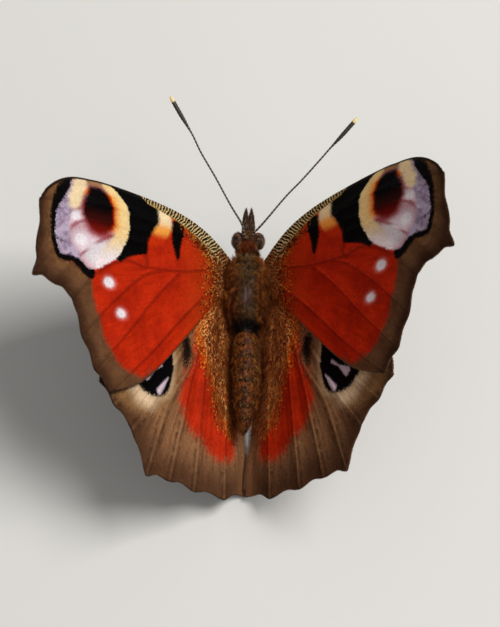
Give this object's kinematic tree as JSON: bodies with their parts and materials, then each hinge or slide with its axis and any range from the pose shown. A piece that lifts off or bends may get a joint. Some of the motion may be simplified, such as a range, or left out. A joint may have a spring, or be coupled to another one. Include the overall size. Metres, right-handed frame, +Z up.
{
  "type": "peacock butterfly",
  "caption": "Life-size peacock butterfly standing with its wings raised in a V, for display; feelers forward, body pitched head up.",
  "frame": {"origin": "middle of the insect's box on the ground that its feet stand on", "axes": "+Y towards the head, +Z up, +X to the butterfly's right"},
  "size_m": [0.0422, 0.0414, 0.0309],
  "materials": {
    "thorax_fur": "soft olive to golden-brown hair over dark brown, worn glossy along the middle of the back",
    "head_fur": "short red-brown and dark hair",
    "abdomen_fur": "dark brown with short golden hair lying back",
    "palp_fur": "dark bristly scales with pale hairs",
    "eye_facets": "glossy dark brown, finely faceted",
    "proboscis_cuticle": "dark brown horn-like tube, slightly glossy",
    "antenna_cuticle": "dark with narrow pale rings and a cream tip on the club",
    "forewing_scales": "powdery scales, brick red with a peacock eye above, nearly black below",
    "hindwing_scales": "powdery scales, brown with a red field and a blue-black eye above, nearly black below",
    "leg_cuticle": "brown with short scales"
  },
  "bodies": {
    "root": {"thorax": "thorax_fur", "head": "head_fur", "abdomen": "abdomen_fur", "proboscis": "proboscis_cuticle", "eye_left": "eye_facets", "eye_right": "eye_facets", "palp_left": "palp_fur", "palp_right": "palp_fur", "antenna_left": "antenna_cuticle", "antenna_right": "antenna_cuticle", "forewing_left": "forewing_scales", "forewing_right": "forewing_scales", "hindwing_left": "hindwing_scales", "hindwing_right": "hindwing_scales", "leg_fore_left": "leg_cuticle", "leg_fore_right": "leg_cuticle", "leg_mid_left": "leg_cuticle", "leg_mid_right": "leg_cuticle", "leg_hind_left": "leg_cuticle", "leg_hind_right": "leg_cuticle"}
  },
  "joints": []
}
